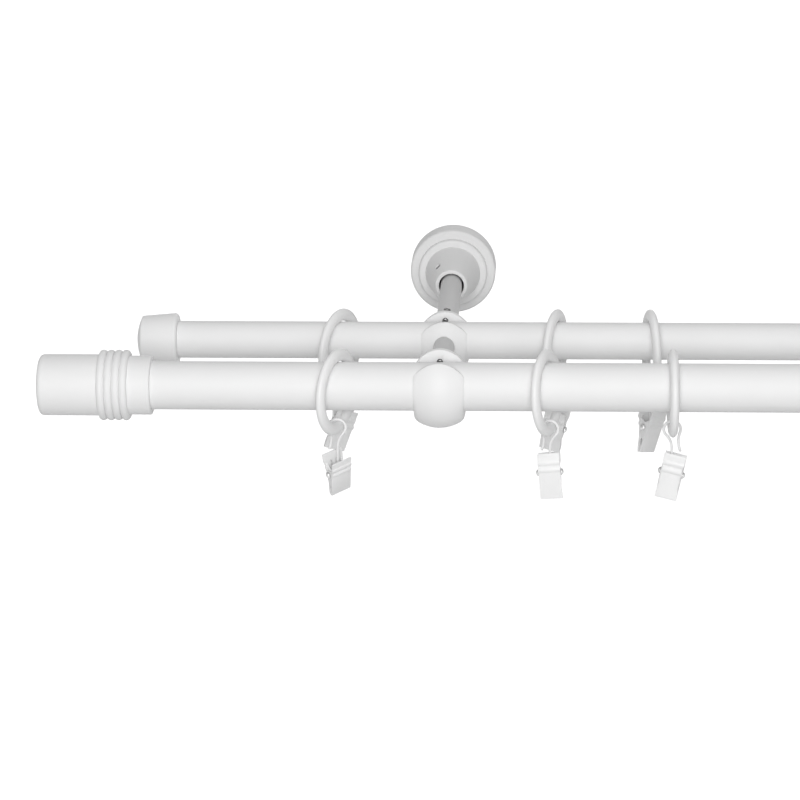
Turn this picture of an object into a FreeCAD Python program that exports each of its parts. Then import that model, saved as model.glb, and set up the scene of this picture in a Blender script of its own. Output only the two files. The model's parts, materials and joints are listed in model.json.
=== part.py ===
import FreeCAD, Part
import Sketcher
import math
import os
from FreeCAD import Placement, Rotation, Vector

# Double curtain pole on two wall brackets, with ring and clip sets.
# Origin at the wall face in the middle of the left bracket.
# +X runs along the poles, +Y points into the wall, +Z is up. Millimetres.

doc = FreeCAD.newDocument("double_curtain_pole")
sheet = doc.addObject("Spreadsheet::Sheet", "Sizes")


class Size:
    """A value together with the sheet expression that gives it."""

    def __init__(self, value, text):
        self.value = value
        self.text = text

    @staticmethod
    def of(other):
        if isinstance(other, Size):
            return other
        return Size(float(other), repr(float(other)))

    def __add__(self, other):
        other = Size.of(other)
        return Size(self.value + other.value, f"({self.text} + {other.text})")

    def __radd__(self, other):
        return Size.of(other) + self

    def __sub__(self, other):
        other = Size.of(other)
        return Size(self.value - other.value, f"({self.text} - {other.text})")

    def __rsub__(self, other):
        return Size.of(other) - self

    def __mul__(self, other):
        other = Size.of(other)
        return Size(self.value * other.value, f"({self.text} * {other.text})")

    def __rmul__(self, other):
        return Size.of(other) * self

    def __truediv__(self, other):
        other = Size.of(other)
        return Size(self.value / other.value, f"({self.text} / {other.text})")

    def __neg__(self):
        return Size(-self.value, f"(0 - {self.text})")

    def root(self):
        return Size(math.sqrt(self.value), f"sqrt({self.text})")


def cell(name, value):
    """Write one driving dimension in the next row of the sheet and name it."""
    cell.row += 1
    place = f"A{cell.row}"
    sheet.set(place, str(value))
    sheet.setAlias(place, name)
    return Size(float(value), f"Sizes.{name}")


cell.row = 0

# Layout of the brackets and poles
bracket_spacing = cell("bracket_spacing", 400)
rear_pole_distance = cell("rear_pole_distance", 151)
pole_spacing = cell("pole_spacing", 81.5)
front_pole_radius = cell("front_pole_radius", 12.5)
rear_pole_radius = cell("rear_pole_radius", 10)
pole_wall = cell("pole_wall", 1.2)
front_overhang = cell("front_overhang", 147.5)
rear_overhang = cell("rear_overhang", 143.6)
plug_fit = cell("plug_fit", 0.1)

# Finial on the front pole
finial_length = cell("finial_length", 58.1)
finial_radius = cell("finial_radius", 15.8)
finial_barrel_length = cell("finial_barrel_length", 31.1)
finial_tip_rounding = cell("finial_tip_rounding", 2.6)
finial_collar_radius = cell("finial_collar_radius", 15.2)
finial_rim_rounding = cell("finial_rim_rounding", 0.9)
finial_socket_depth = cell("finial_socket_depth", 24)
bead_count = 4
bead_pitch = cell("bead_pitch", 3.9)
bead_root_radius = cell("bead_root_radius", 16.65)
bead_rounding = cell("bead_rounding", 2)

# End cap on the rear pole
cap_length = cell("cap_length", 22.3)
cap_dome_height = cell("cap_dome_height", 2.6)
cap_tip_radius = cell("cap_tip_radius", 12.7)
cap_rim_radius = cell("cap_rim_radius", 14.2)
cap_tip_rounding = cell("cap_tip_rounding", 0.9)
cap_rim_rounding = cell("cap_rim_rounding", 1.7)
cap_socket_depth = cell("cap_socket_depth", 17)

# Wall plate and rosette
plate_radius = cell("plate_radius", 20)
plate_thickness = cell("plate_thickness", 5)
plate_socket_radius = cell("plate_socket_radius", 9.8)
plate_socket_height = cell("plate_socket_height", 15)
plate_hole_radius = cell("plate_hole_radius", 2.25)
plate_hole_spacing = cell("plate_hole_spacing", 30)
plate_head_room = cell("plate_head_room", 4.2)
rosette_gap = cell("rosette_gap", 0.3)
rosette_radius = cell("rosette_radius", 24.7)
rosette_rim_height = cell("rosette_rim_height", 13.7)
rosette_rim_rounding = cell("rosette_rim_rounding", 1.6)
rosette_step_radius = cell("rosette_step_radius", 19.8)
rosette_step_height = cell("rosette_step_height", 17.4)
rosette_step_rounding = cell("rosette_step_rounding", 1.3)
boss_base_radius = cell("boss_base_radius", 15.9)
boss_tip_radius = cell("boss_tip_radius", 9.3)
boss_tip_rounding = cell("boss_tip_rounding", 0.9)
boss_height = cell("boss_height", 43.5)
boss_bore_radius = cell("boss_bore_radius", 7.2)
rosette_screw_radius = cell("rosette_screw_radius", 2)
rosette_screw_height = cell("rosette_screw_height", 33)
rosette_screw_angle = cell("rosette_screw_angle", 134)

# Stem from the wall to the rear cup, and link rod between the cups
stem_radius = cell("stem_radius", 6)
stem_bore_radius = cell("stem_bore_radius", 4.1)
stem_fit = cell("stem_fit", 0.1)
stem_spigot_length = cell("stem_spigot_length", 34)
stem_screw_radius = cell("stem_screw_radius", 2)
stem_screw_setback = cell("stem_screw_setback", 37.5)
stem_screw_angle = cell("stem_screw_angle", 90)
link_radius = cell("link_radius", 5.5)
link_bore_radius = cell("link_bore_radius", 3.6)
link_spigot_length = cell("link_spigot_length", 36)
link_socket_wall = cell("link_socket_wall", 0.9)
link_screw_radius = cell("link_screw_radius", 2)
link_screw_setback = cell("link_screw_setback", 47)
link_screw_angle = cell("link_screw_angle", 125)
screw_standing = cell("screw_standing", 0.5)
screw_slot_width = cell("screw_slot_width", 0.8)
screw_slot_depth = cell("screw_slot_depth", 0.9)

# Cups that carry the poles
cup_back_wall = cell("cup_back_wall", 3.5)
cup_bore_fit = cell("cup_bore_fit", 0.1)
cup_drop = cell("cup_drop", 1)
front_cup_width = cell("front_cup_width", 25.4)
front_cup_radius = cell("front_cup_radius", 22)
front_cup_setback = cell("front_cup_setback", 5.5)
front_cup_crown = cell("front_cup_crown", 20)
front_cup_corner = cell("front_cup_corner", 4.6)
front_arch_radius = cell("front_arch_radius", 13.6)
front_arch_height = cell("front_arch_height", 1.4)
front_disc_radius = cell("front_disc_radius", 12.7)
front_disc_height = cell("front_disc_height", 3)
front_lip_reach = cell("front_lip_reach", 8)
front_lock_height = cell("front_lock_height", 9.4)
rear_cup_width = cell("rear_cup_width", 23.9)
rear_cup_radius = cell("rear_cup_radius", 18)
rear_cup_setback = cell("rear_cup_setback", 4.5)
rear_cup_crown = cell("rear_cup_crown", 20)
rear_cup_corner = cell("rear_cup_corner", 4)
rear_arch_radius = cell("rear_arch_radius", 12.9)
rear_arch_height = cell("rear_arch_height", -0.6)
rear_disc_radius = cell("rear_disc_radius", 11.95)
rear_disc_height = cell("rear_disc_height", 0.85)
rear_lip_reach = cell("rear_lip_reach", 6.6)
rear_lock_height = cell("rear_lock_height", 8.1)
lock_screw_radius = cell("lock_screw_radius", 1.6)
lock_screw_reach = cell("lock_screw_reach", 2)

# Ring, the same on both poles
ring_outer_radius = cell("ring_outer_radius", 22.5)
ring_depth = cell("ring_depth", 6.6)
ring_width = cell("ring_width", 4.7)
ring_nose = cell("ring_nose", 1.75)
ring_gap = cell("ring_gap", 0.3)

# Wire hook
wire_radius = cell("wire_radius", 0.75)
hook_gap = cell("hook_gap", 0.3)
hook_drop = cell("hook_drop", 23.6)
hook_neck_height = cell("hook_neck_height", 10.4)
hook_tail_radius = cell("hook_tail_radius", 14)
hook_tail_start = cell("hook_tail_start", 20)
hook_tail_end = cell("hook_tail_end", 22)

# Spring clip
clip_width = cell("clip_width", 11.5)
clip_sheet = cell("clip_sheet", 0.8)
clip_top = cell("clip_top", 10)
clip_bottom = cell("clip_bottom", 13.9)
clip_mouth_gap = cell("clip_mouth_gap", 0.3)
clip_knee = cell("clip_knee", 2.7)
clip_knee_height = cell("clip_knee_height", -0.1)
clip_flare = cell("clip_flare", 4.6)
ridge_length = cell("ridge_length", 2.9)
ridge_rounding = cell("ridge_rounding", 2.2)
ridge_pitch = cell("ridge_pitch", 3.7)
ear_radius = cell("ear_radius", 2.3)
ear_half_height = cell("ear_half_height", 1.6)
ear_foot = cell("ear_foot", 8)
ear_head = cell("ear_head", 4.5)
ear_gap = cell("ear_gap", 0.3)
pin_radius = cell("pin_radius", 0.95)
pin_fit = cell("pin_fit", 0.05)
pin_head_radius = cell("pin_head_radius", 1.5)
pin_head_length = cell("pin_head_length", 0.9)
pin_head_gap = cell("pin_head_gap", 0.1)
coil_radius = cell("coil_radius", 2)
coil_start = cell("coil_start", 1.6)
coil_length = cell("coil_length", 1.9)


def turn_outward():
    """Lay a turned piece's own axis along -Y, from the wall to the room."""
    return Rotation(Vector(0, 0, 1), -90)


def at(shift_x, shift_y, shift_z, turn=None):
    """A place whose coordinates are sizes."""
    return (Size.of(shift_x), Size.of(shift_y), Size.of(shift_z), turn or Rotation())


def put(piece, place):
    """Set the place of a piece and bind its coordinates to the sheet."""
    shift_x, shift_y, shift_z, turn = place
    base = Vector(shift_x.value, shift_y.value, shift_z.value)
    piece.Placement = Placement(base, turn)
    piece.setExpression(".Placement.Base.x", shift_x.text)
    piece.setExpression(".Placement.Base.y", shift_y.text)
    piece.setExpression(".Placement.Base.z", shift_z.text)


def origin_plane(body, role):
    for feature in body.Origin.OriginFeatures:
        if feature.Role == role:
            return feature
    raise ValueError(role)


def new_sketch(body, name, role):
    sketch = body.newObject("Sketcher::SketchObject", name)
    sketch.AttachmentSupport = [(origin_plane(body, role), "")]
    sketch.MapMode = "FlatFace"
    return sketch


def fix_point(sketch, edge, end, spot):
    """Hold one end of an edge at a spot whose coordinates are sizes."""
    across, along = spot
    if isinstance(across, (int, float)) and across == 0:
        sketch.addConstraint(Sketcher.Constraint("PointOnObject", edge, end, -2))
    else:
        size = Size.of(across)
        row = sketch.addConstraint(Sketcher.Constraint("DistanceX", -1, 1, edge, end, size.value))
        sketch.setExpression(f"Constraints[{row}]", size.text)
    if isinstance(along, (int, float)) and along == 0:
        sketch.addConstraint(Sketcher.Constraint("PointOnObject", edge, end, -1))
    else:
        size = Size.of(along)
        row = sketch.addConstraint(Sketcher.Constraint("DistanceY", -1, 1, edge, end, size.value))
        sketch.setExpression(f"Constraints[{row}]", size.text)


def number(value):
    return Size.of(value).value


def arc_between(start, end, radius, side, long_way):
    """An arc from start to end, with its centre to the left or right of the way."""
    radius = max(radius, math.dist((number(start[0]), number(start[1])),
                                   (number(end[0]), number(end[1]))) / 2)
    first = Vector(number(start[0]), number(start[1]), 0)
    last = Vector(number(end[0]), number(end[1]), 0)
    chord = last - first
    rise = math.sqrt(max(radius ** 2 - (chord.Length / 2) ** 2, 0.0))
    left = Vector(-chord.y, chord.x, 0).normalize()
    sign = -1 if side == "right" else 1
    if long_way:
        rise = -rise
    centre = (first + last) * 0.5 + left * (sign * rise)
    first_angle = math.atan2(first.y - centre.y, first.x - centre.x)
    last_angle = math.atan2(last.y - centre.y, last.x - centre.x)
    circle = Part.Circle(centre, Vector(0, 0, 1), radius)
    if side in ("left", "over"):
        return Part.ArcOfCircle(circle, first_angle, last_angle), 1, 2
    return Part.ArcOfCircle(circle, last_angle, first_angle), 2, 1


def draw(sketch, corners, closed=True):
    """Draw lines and arcs through corners (across, along, bend to the next corner)."""
    spans = len(corners) if closed else len(corners) - 1
    ends = []
    for index in range(spans):
        here = corners[index]
        there = corners[(index + 1) % len(corners)]
        if len(here) == 2:
            first = Vector(number(here[0]), number(here[1]), 0)
            last = Vector(number(there[0]), number(there[1]), 0)
            edge = sketch.addGeometry(Part.LineSegment(first, last), False)
            ends.append((edge, 1, 2))
            continue
        radius, side, long_way = here[2]
        shape, begin, finish = arc_between(here, there, Size.of(radius).value, side, long_way)
        edge = sketch.addGeometry(shape, False)
        ends.append((edge, begin, finish))
    for index, (edge, begin, finish) in enumerate(ends):
        fix_point(sketch, edge, begin, corners[index][:2])
        if index + 1 < len(ends) or closed:
            next_edge, next_begin, _ = ends[(index + 1) % len(ends)]
            sketch.addConstraint(
                Sketcher.Constraint("Coincident", edge, finish, next_edge, next_begin))
        else:
            fix_point(sketch, edge, finish, corners[index + 1][:2])
    for index, (edge, begin, finish) in enumerate(ends):
        if len(corners[index]) == 3 and corners[index][2][1] == "over":
            level = Size.of(corners[index][1])
            row = sketch.addConstraint(Sketcher.Constraint("DistanceY", -1, 1, edge, 3, level.value))
            sketch.setExpression(f"Constraints[{row}]", level.text)
        elif len(corners[index]) == 3:
            size = Size.of(corners[index][2][0])
            row = sketch.addConstraint(Sketcher.Constraint("Radius", edge, size.value))
            sketch.setExpression(f"Constraints[{row}]", size.text)
    return sketch


def bend(radius, side="left", long_way=False):
    return (radius, side, long_way)


def half_round(radius):
    """A half circle whose centre is level with its two ends."""
    return (radius, "over", False)


def turned(name, corners):
    """A piece turned about its own X axis from an outline of (along, radius)."""
    body = doc.addObject("PartDesign::Body", name)
    sketch = new_sketch(body, name + "_outline", "XY_Plane")
    draw(sketch, corners)
    solid = body.newObject("PartDesign::Revolution", name + "_turning")
    solid.Profile = sketch
    solid.ReferenceAxis = (sketch, ["H_Axis"])
    solid.Angle = 360
    sketch.Visibility = False
    body.Label = name
    return body


def cylinder(name, radius, length, place):
    rod = doc.addObject("Part::Cylinder", name)
    rod.setExpression("Radius", Size.of(radius).text)
    rod.setExpression("Height", Size.of(length).text)
    put(rod, place)
    return rod


def box(name, length, width, height, place):
    block = doc.addObject("Part::Box", name)
    block.setExpression("Length", Size.of(length).text)
    block.setExpression("Width", Size.of(width).text)
    block.setExpression("Height", Size.of(height).text)
    put(block, place)
    return block


def joined(name, pieces):
    union = doc.addObject("Part::MultiFuse", name)
    union.Shapes = pieces
    return union


def cut(name, base, tool):
    result = doc.addObject("Part::Cut", name)
    result.Base = base
    result.Tool = tool
    return result


def tube(name, radius, bore, length):
    """A plain tube along its own X axis."""
    return turned(name, [(0, bore), (length, bore), (length, radius), (0, radius)])


ALONG_POLE = Rotation(Vector(0, 1, 0), 90)
TOWARD_ROOM = Rotation(Vector(1, 0, 0), 90)
TOWARD_WALL = Rotation(Vector(1, 0, 0), -90)
FLIPPED = Rotation(Vector(0, 0, 1), 180)


# Poles

def pole(name, radius, overhang, socket_depth, distance):
    start = overhang + socket_depth - plug_fit
    piece = tube(name, radius, radius - pole_wall, bracket_spacing + 2 * start)
    put(piece, at(-start, -distance, 0))
    return piece


# Finial, turned from tip to rim, with beads between its barrel and its collar

def finial(name, place):
    beads_start = finial_barrel_length
    corners = [(0, 0), (0, finial_radius - finial_tip_rounding, bend(finial_tip_rounding, "right"))]
    corners.append((finial_tip_rounding, finial_radius))
    corners.append((beads_start, finial_radius))
    for index in range(bead_count):
        corners.append((beads_start + index * bead_pitch, bead_root_radius,
                        bend(bead_rounding, "right")))
    beads_end = beads_start + bead_count * bead_pitch
    corners.append((beads_end, bead_root_radius))
    corners.append((beads_end, finial_collar_radius))
    corners.append((finial_length - finial_rim_rounding, finial_collar_radius,
                    bend(finial_rim_rounding, "right")))
    corners.append((finial_length, finial_collar_radius - finial_rim_rounding))
    bore = front_pole_radius + plug_fit
    corners.append((finial_length, bore))
    corners.append((finial_length - finial_socket_depth, bore))
    corners.append((finial_length - finial_socket_depth, 0))
    piece = turned(name, corners)
    put(piece, place)
    return piece


# End cap with a domed face, turned from tip to rim and flared towards the rim

def end_cap(name, place):
    rim = cap_length - cap_rim_rounding
    bore = rear_pole_radius + plug_fit
    bottom = cap_length - cap_socket_depth
    face = cap_tip_radius - cap_tip_rounding
    dome = (face * face + cap_dome_height * cap_dome_height) / (2 * cap_dome_height)
    corners = [
        (0, 0, bend(dome, "right")),
        (cap_dome_height, face, bend(cap_tip_rounding, "right")),
        (cap_dome_height + cap_tip_rounding, cap_tip_radius),
        (rim, cap_rim_radius, bend(cap_rim_rounding, "right")),
        (cap_length, cap_rim_radius - cap_rim_rounding),
        (cap_length, bore),
        (bottom, bore),
        (bottom, 0),
    ]
    piece = turned(name, corners)
    put(piece, place)
    return piece


# Wall plate with a socket for the stem and two screw holes on a vertical line

def wall_plate(side, centre):
    name = "wall_plate_" + side
    bore = stem_radius + stem_fit
    blank = turned(name + "_blank", [
        (0, 0),
        (0, plate_radius),
        (plate_thickness, plate_radius),
        (plate_thickness, plate_socket_radius),
        (plate_socket_height, plate_socket_radius),
        (plate_socket_height, bore),
        (plate_thickness, bore),
        (plate_thickness, 0),
    ])
    put(blank, at(centre, 0, 0, turn_outward()))
    holes = []
    for level, sign in (("upper", 1), ("lower", -1)):
        spot = at(centre, 1, plate_hole_spacing * (sign / 2), TOWARD_ROOM)
        holes.append(cylinder(f"{name}_{level}_hole", plate_hole_radius, plate_thickness + 2, spot))
    piece = cut(name, blank, joined(name + "_holes", holes))
    piece.Label = name
    return piece


# Rosette: a stepped cover with a tapered boss, hollow behind for the wall plate

def radial_screw_place(centre, reach, distance, angle):
    """A place reach away from the stem's axis, with +Z pointing out along the radius."""
    turn = Rotation(Vector(0, 1, 0), 90 - angle.value)
    cosine = math.cos(math.radians(angle.value))
    sine = math.sin(math.radians(angle.value))
    return at(centre + reach * cosine, -distance, reach * sine, turn)


def rosette(side, centre):
    name = "rosette_" + side
    cavity = plate_radius + rosette_gap
    ledge = plate_thickness + plate_head_room
    recess = plate_socket_radius + rosette_gap
    recess_top = plate_socket_height + rosette_gap
    blank = turned(name + "_blank", [
        (0, cavity),
        (ledge, cavity),
        (ledge, recess),
        (recess_top, recess),
        (recess_top, boss_bore_radius),
        (boss_height, boss_bore_radius),
        (boss_height, boss_tip_radius - boss_tip_rounding, bend(boss_tip_rounding)),
        (boss_height - boss_tip_rounding, boss_tip_radius),
        (rosette_step_height, boss_base_radius),
        (rosette_step_height, rosette_step_radius - rosette_step_rounding,
         bend(rosette_step_rounding)),
        (rosette_step_height - rosette_step_rounding, rosette_step_radius),
        (rosette_rim_height, rosette_step_radius),
        (rosette_rim_height, rosette_radius - rosette_rim_rounding, bend(rosette_rim_rounding)),
        (rosette_rim_height - rosette_rim_rounding, rosette_radius),
        (0, rosette_radius),
    ])
    put(blank, at(centre, 0, 0, turn_outward()))
    place = radial_screw_place(centre, Size.of(0), rosette_screw_height, rosette_screw_angle)
    hole = cylinder(name + "_hole", rosette_screw_radius, boss_base_radius * 2, place)
    piece = cut(name, blank, hole)
    piece.Label = name
    return piece


# Grub screw with a screwdriver slot across its outer end, standing on its own Z axis

def grub_screw(name, radius, length, place):
    rod = cylinder(name + "_rod", radius, length, at(0, 0, 0))
    slot = box(name + "_slot", radius * 2 + 2, screw_slot_width, screw_slot_depth + 1,
               at(-radius - 1, -screw_slot_width / 2, length - screw_slot_depth))
    piece = cut(name, rod, slot)
    piece.Label = name
    put(piece, place)
    return piece


def boss_radius_at(height):
    """Radius of the tapered boss at a distance from the wall."""
    run = boss_height - boss_tip_rounding - rosette_step_height
    return boss_base_radius - (boss_base_radius - boss_tip_radius) * (height - rosette_step_height) / run


# Stem tube from the wall plate to the back of the rear cup, with a hole for its grub screw

def rod_with_hole(name, radius, bore, length, place, hole_radius, hole_place):
    blank = tube(name + "_blank", radius, bore, length)
    put(blank, place)
    hole = cylinder(name + "_hole", hole_radius, radius * 2, hole_place)
    piece = cut(name, blank, hole)
    piece.Label = name
    return piece


# Cup: a crowned barrel bored for the pole, open at the top in front of a round back wall

def cup(name, place, sizes, spigot, socket):
    """Local origin on the pole's axis, with the wall towards +Y."""
    half = sizes["width"] / 2
    crown = sizes["crown"]
    corner = sizes["corner"]
    radius = sizes["radius"]
    crown_centre = radius - crown
    reach = ((crown - corner) * (crown - corner) - (half - corner) * (half - corner)).root()
    corner_centre = crown_centre + reach
    meet_along = (half - corner) * crown / (crown - corner)
    meet_radius = crown_centre + reach * crown / (crown - corner)
    barrel = turned(name + "_barrel", [
        (-half, 0),
        (-half, corner_centre, bend(corner, "right")),
        (-meet_along, meet_radius, bend(crown, "right")),
        (meet_along, meet_radius, bend(corner, "right")),
        (half, corner_centre),
        (half, 0),
    ])
    put(barrel, at(0, sizes["setback"], -cup_drop))

    arch = doc.addObject("PartDesign::Body", name + "_arch")
    sketch = new_sketch(arch, name + "_arch_outline", "XZ_Plane")
    draw(sketch, [
        (-sizes["arch_radius"], -2 * radius),
        (sizes["arch_radius"], -2 * radius),
        (sizes["arch_radius"], sizes["arch_height"], half_round(sizes["arch_radius"])),
        (-sizes["arch_radius"], sizes["arch_height"]),
    ])
    pad = arch.newObject("PartDesign::Pad", name + "_arch_pad")
    pad.Profile = sketch
    back = sizes["pole_radius"] + cup_back_wall
    pad.setExpression("Length", (back + 2 * radius).text)
    put(arch, at(0, back, 0))

    common = doc.addObject("Part::Common", name + "_body")
    common.Base = barrel
    common.Tool = arch
    inner = sizes["pole_radius"] + cup_bore_fit
    disc = cylinder(name + "_disc", sizes["disc_radius"], back - inner,
                    at(0, back, sizes["disc_height"], TOWARD_ROOM))
    solids = [common, disc]
    if spigot:
        solids.append(cylinder(name + "_spigot", spigot[0], spigot[1], at(0, back, 0, TOWARD_WALL)))
    whole = joined(name + "_whole", solids)

    bore = cylinder(name + "_bore", inner, sizes["width"] * 2,
                    at(-sizes["width"], 0, 0, ALONG_POLE))
    mouth = box(name + "_mouth", sizes["width"] * 2, sizes["lip_reach"] + inner, radius * 2,
                at(-sizes["width"], -sizes["lip_reach"], 0))
    lock = cylinder(name + "_lock_hole", lock_screw_radius, cup_back_wall + 2,
                    at(0, back + 1, sizes["lock_height"], TOWARD_ROOM))
    tools = [bore, mouth, lock]
    if socket:
        tools.append(cylinder(name + "_socket", socket, radius * 2,
                              at(0, -(inner + link_socket_wall), 0, TOWARD_ROOM)))
    piece = cut(name, whole, joined(name + "_tools", tools))
    piece.Label = name
    put(piece, place)
    return piece


front_sizes = {
    "pole_radius": front_pole_radius,
    "width": front_cup_width,
    "radius": front_cup_radius,
    "setback": front_cup_setback,
    "crown": front_cup_crown,
    "corner": front_cup_corner,
    "arch_radius": front_arch_radius,
    "arch_height": front_arch_height,
    "disc_radius": front_disc_radius,
    "disc_height": front_disc_height,
    "lip_reach": front_lip_reach,
    "lock_height": front_lock_height,
}
rear_sizes = {
    "pole_radius": rear_pole_radius,
    "width": rear_cup_width,
    "radius": rear_cup_radius,
    "setback": rear_cup_setback,
    "crown": rear_cup_crown,
    "corner": rear_cup_corner,
    "arch_radius": rear_arch_radius,
    "arch_height": rear_arch_height,
    "disc_radius": rear_disc_radius,
    "disc_height": rear_disc_height,
    "lip_reach": rear_lip_reach,
    "lock_height": rear_lock_height,
}
front_pole_distance = rear_pole_distance + pole_spacing


def lock_screw(name, centre, distance, sizes):
    """Grub screw through the back wall, its nose standing over the pole's shoulder."""
    length = cup_back_wall + lock_screw_reach
    back = sizes["pole_radius"] + cup_back_wall
    place = at(centre, back - distance, sizes["lock_height"], TOWARD_ROOM)
    return grub_screw(name, lock_screw_radius, length, place)


# One whole bracket

def bracket(side, centre):
    pieces = [wall_plate(side, centre), rosette(side, centre)]
    seat = boss_radius_at(rosette_screw_height) - screw_standing
    place = radial_screw_place(centre, stem_radius, rosette_screw_height, rosette_screw_angle)
    pieces.append(grub_screw("rosette_screw_" + side, rosette_screw_radius, seat - stem_radius, place))

    rear_back = rear_pole_radius + cup_back_wall
    stem_end = rear_pole_distance - rear_back
    stem_hole = radial_screw_place(centre, Size.of(0), rear_pole_distance - stem_screw_setback,
                                   stem_screw_angle)
    pieces.append(rod_with_hole(
        "stem_" + side, stem_radius, stem_bore_radius, stem_end - plate_thickness,
        at(centre, -plate_thickness, 0, turn_outward()), stem_screw_radius, stem_hole))
    spigot = stem_bore_radius - stem_fit
    place = radial_screw_place(centre, spigot, rear_pole_distance - stem_screw_setback,
                               stem_screw_angle)
    pieces.append(grub_screw("stem_screw_" + side, stem_screw_radius,
                             stem_radius - spigot + screw_standing, place))
    pieces.append(cup("rear_cup_" + side, at(centre, -rear_pole_distance, 0), rear_sizes,
                      (spigot, stem_spigot_length), link_radius + stem_fit))
    pieces.append(lock_screw("rear_lock_screw_" + side, centre, rear_pole_distance, rear_sizes))

    link_start = rear_pole_distance + rear_pole_radius + cup_bore_fit + link_socket_wall
    link_end = front_pole_distance - front_pole_radius - cup_back_wall
    link_hole = radial_screw_place(centre, Size.of(0), front_pole_distance - link_screw_setback,
                                   link_screw_angle)
    pieces.append(rod_with_hole(
        "link_rod_" + side, link_radius, link_bore_radius, link_end - link_start,
        at(centre, -link_start, 0, turn_outward()), link_screw_radius, link_hole))
    link_spigot = link_bore_radius - stem_fit
    place = radial_screw_place(centre, link_spigot, front_pole_distance - link_screw_setback,
                               link_screw_angle)
    pieces.append(grub_screw("link_screw_" + side, link_screw_radius,
                             link_radius - link_spigot + screw_standing, place))
    pieces.append(cup("front_cup_" + side, at(centre, -front_pole_distance, 0), front_sizes,
                      (link_spigot, link_spigot_length), None))
    pieces.append(lock_screw("front_lock_screw_" + side, centre, front_pole_distance, front_sizes))
    return pieces


# Ring with an oval section, drawn as four tangent arcs

def curtain_ring(name, place):
    tall = ring_depth / 2
    wide = ring_width / 2
    middle = ring_outer_radius - tall
    flank = (tall * tall + wide * wide - 2 * tall * ring_nose) / (2 * (wide - ring_nose))
    meet_x = ring_nose * (flank - wide) / (flank - ring_nose)
    meet_y = (tall - ring_nose) * (ring_nose / (flank - ring_nose) + 1)
    piece = turned(name, [
        (-meet_x, middle - meet_y, bend(ring_nose)),
        (meet_x, middle - meet_y, bend(flank)),
        (meet_x, middle + meet_y, bend(ring_nose)),
        (-meet_x, middle + meet_y, bend(flank)),
    ])
    put(piece, place)
    return piece


# Wire hook: a shank, a loop round the ring and an open tail, all in one plane

def wire_hook(name, place):
    """Local origin at the foot of the shank, which stands on the clip's pin."""
    body = doc.addObject("PartDesign::Body", name)
    foot = pin_radius + hook_gap
    loop = ring_depth / 2 + hook_gap + wire_radius
    loop_centre = hook_drop - foot
    neck = loop_centre - hook_neck_height
    neck_radius = (hook_neck_height * hook_neck_height - loop * loop) / (2 * loop)
    share = loop / (loop + neck_radius)
    start_angle = math.radians(hook_tail_start.value)
    end_angle = math.radians(hook_tail_end.value)
    tail_reach = loop + hook_tail_radius
    spine = new_sketch(body, name + "_path", "XZ_Plane")
    draw(spine, [
        (0, 0),
        (0, neck, bend(neck_radius)),
        (-neck_radius * share, loop_centre - hook_neck_height * share,
         bend(loop, "right", True)),
        (loop * math.cos(start_angle), loop_centre - loop * math.sin(start_angle),
         bend(hook_tail_radius)),
        (tail_reach * math.cos(start_angle) - hook_tail_radius * math.cos(end_angle),
         loop_centre - tail_reach * math.sin(start_angle)
         - hook_tail_radius * math.sin(end_angle)),
    ], closed=False)
    section = new_sketch(body, name + "_section", "XY_Plane")
    circle = Part.Circle(Vector(0, 0, 0), Vector(0, 0, 1), wire_radius.value)
    edge = section.addGeometry(circle, False)
    section.addConstraint(Sketcher.Constraint("Coincident", edge, 3, -1, 1))
    row = section.addConstraint(Sketcher.Constraint("Radius", edge, wire_radius.value))
    section.setExpression(f"Constraints[{row}]", wire_radius.text)
    pipe = body.newObject("PartDesign::AdditivePipe", name + "_wire")
    pipe.Profile = section
    pipe.Spine = (spine, [f"Edge{index + 1}" for index in range(4)])
    pipe.Transition = "Transformed"
    body.Label = name
    put(body, place)
    return body


# Jaw: a bent sheet with two pressed ridges and two ears on the pin

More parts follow.
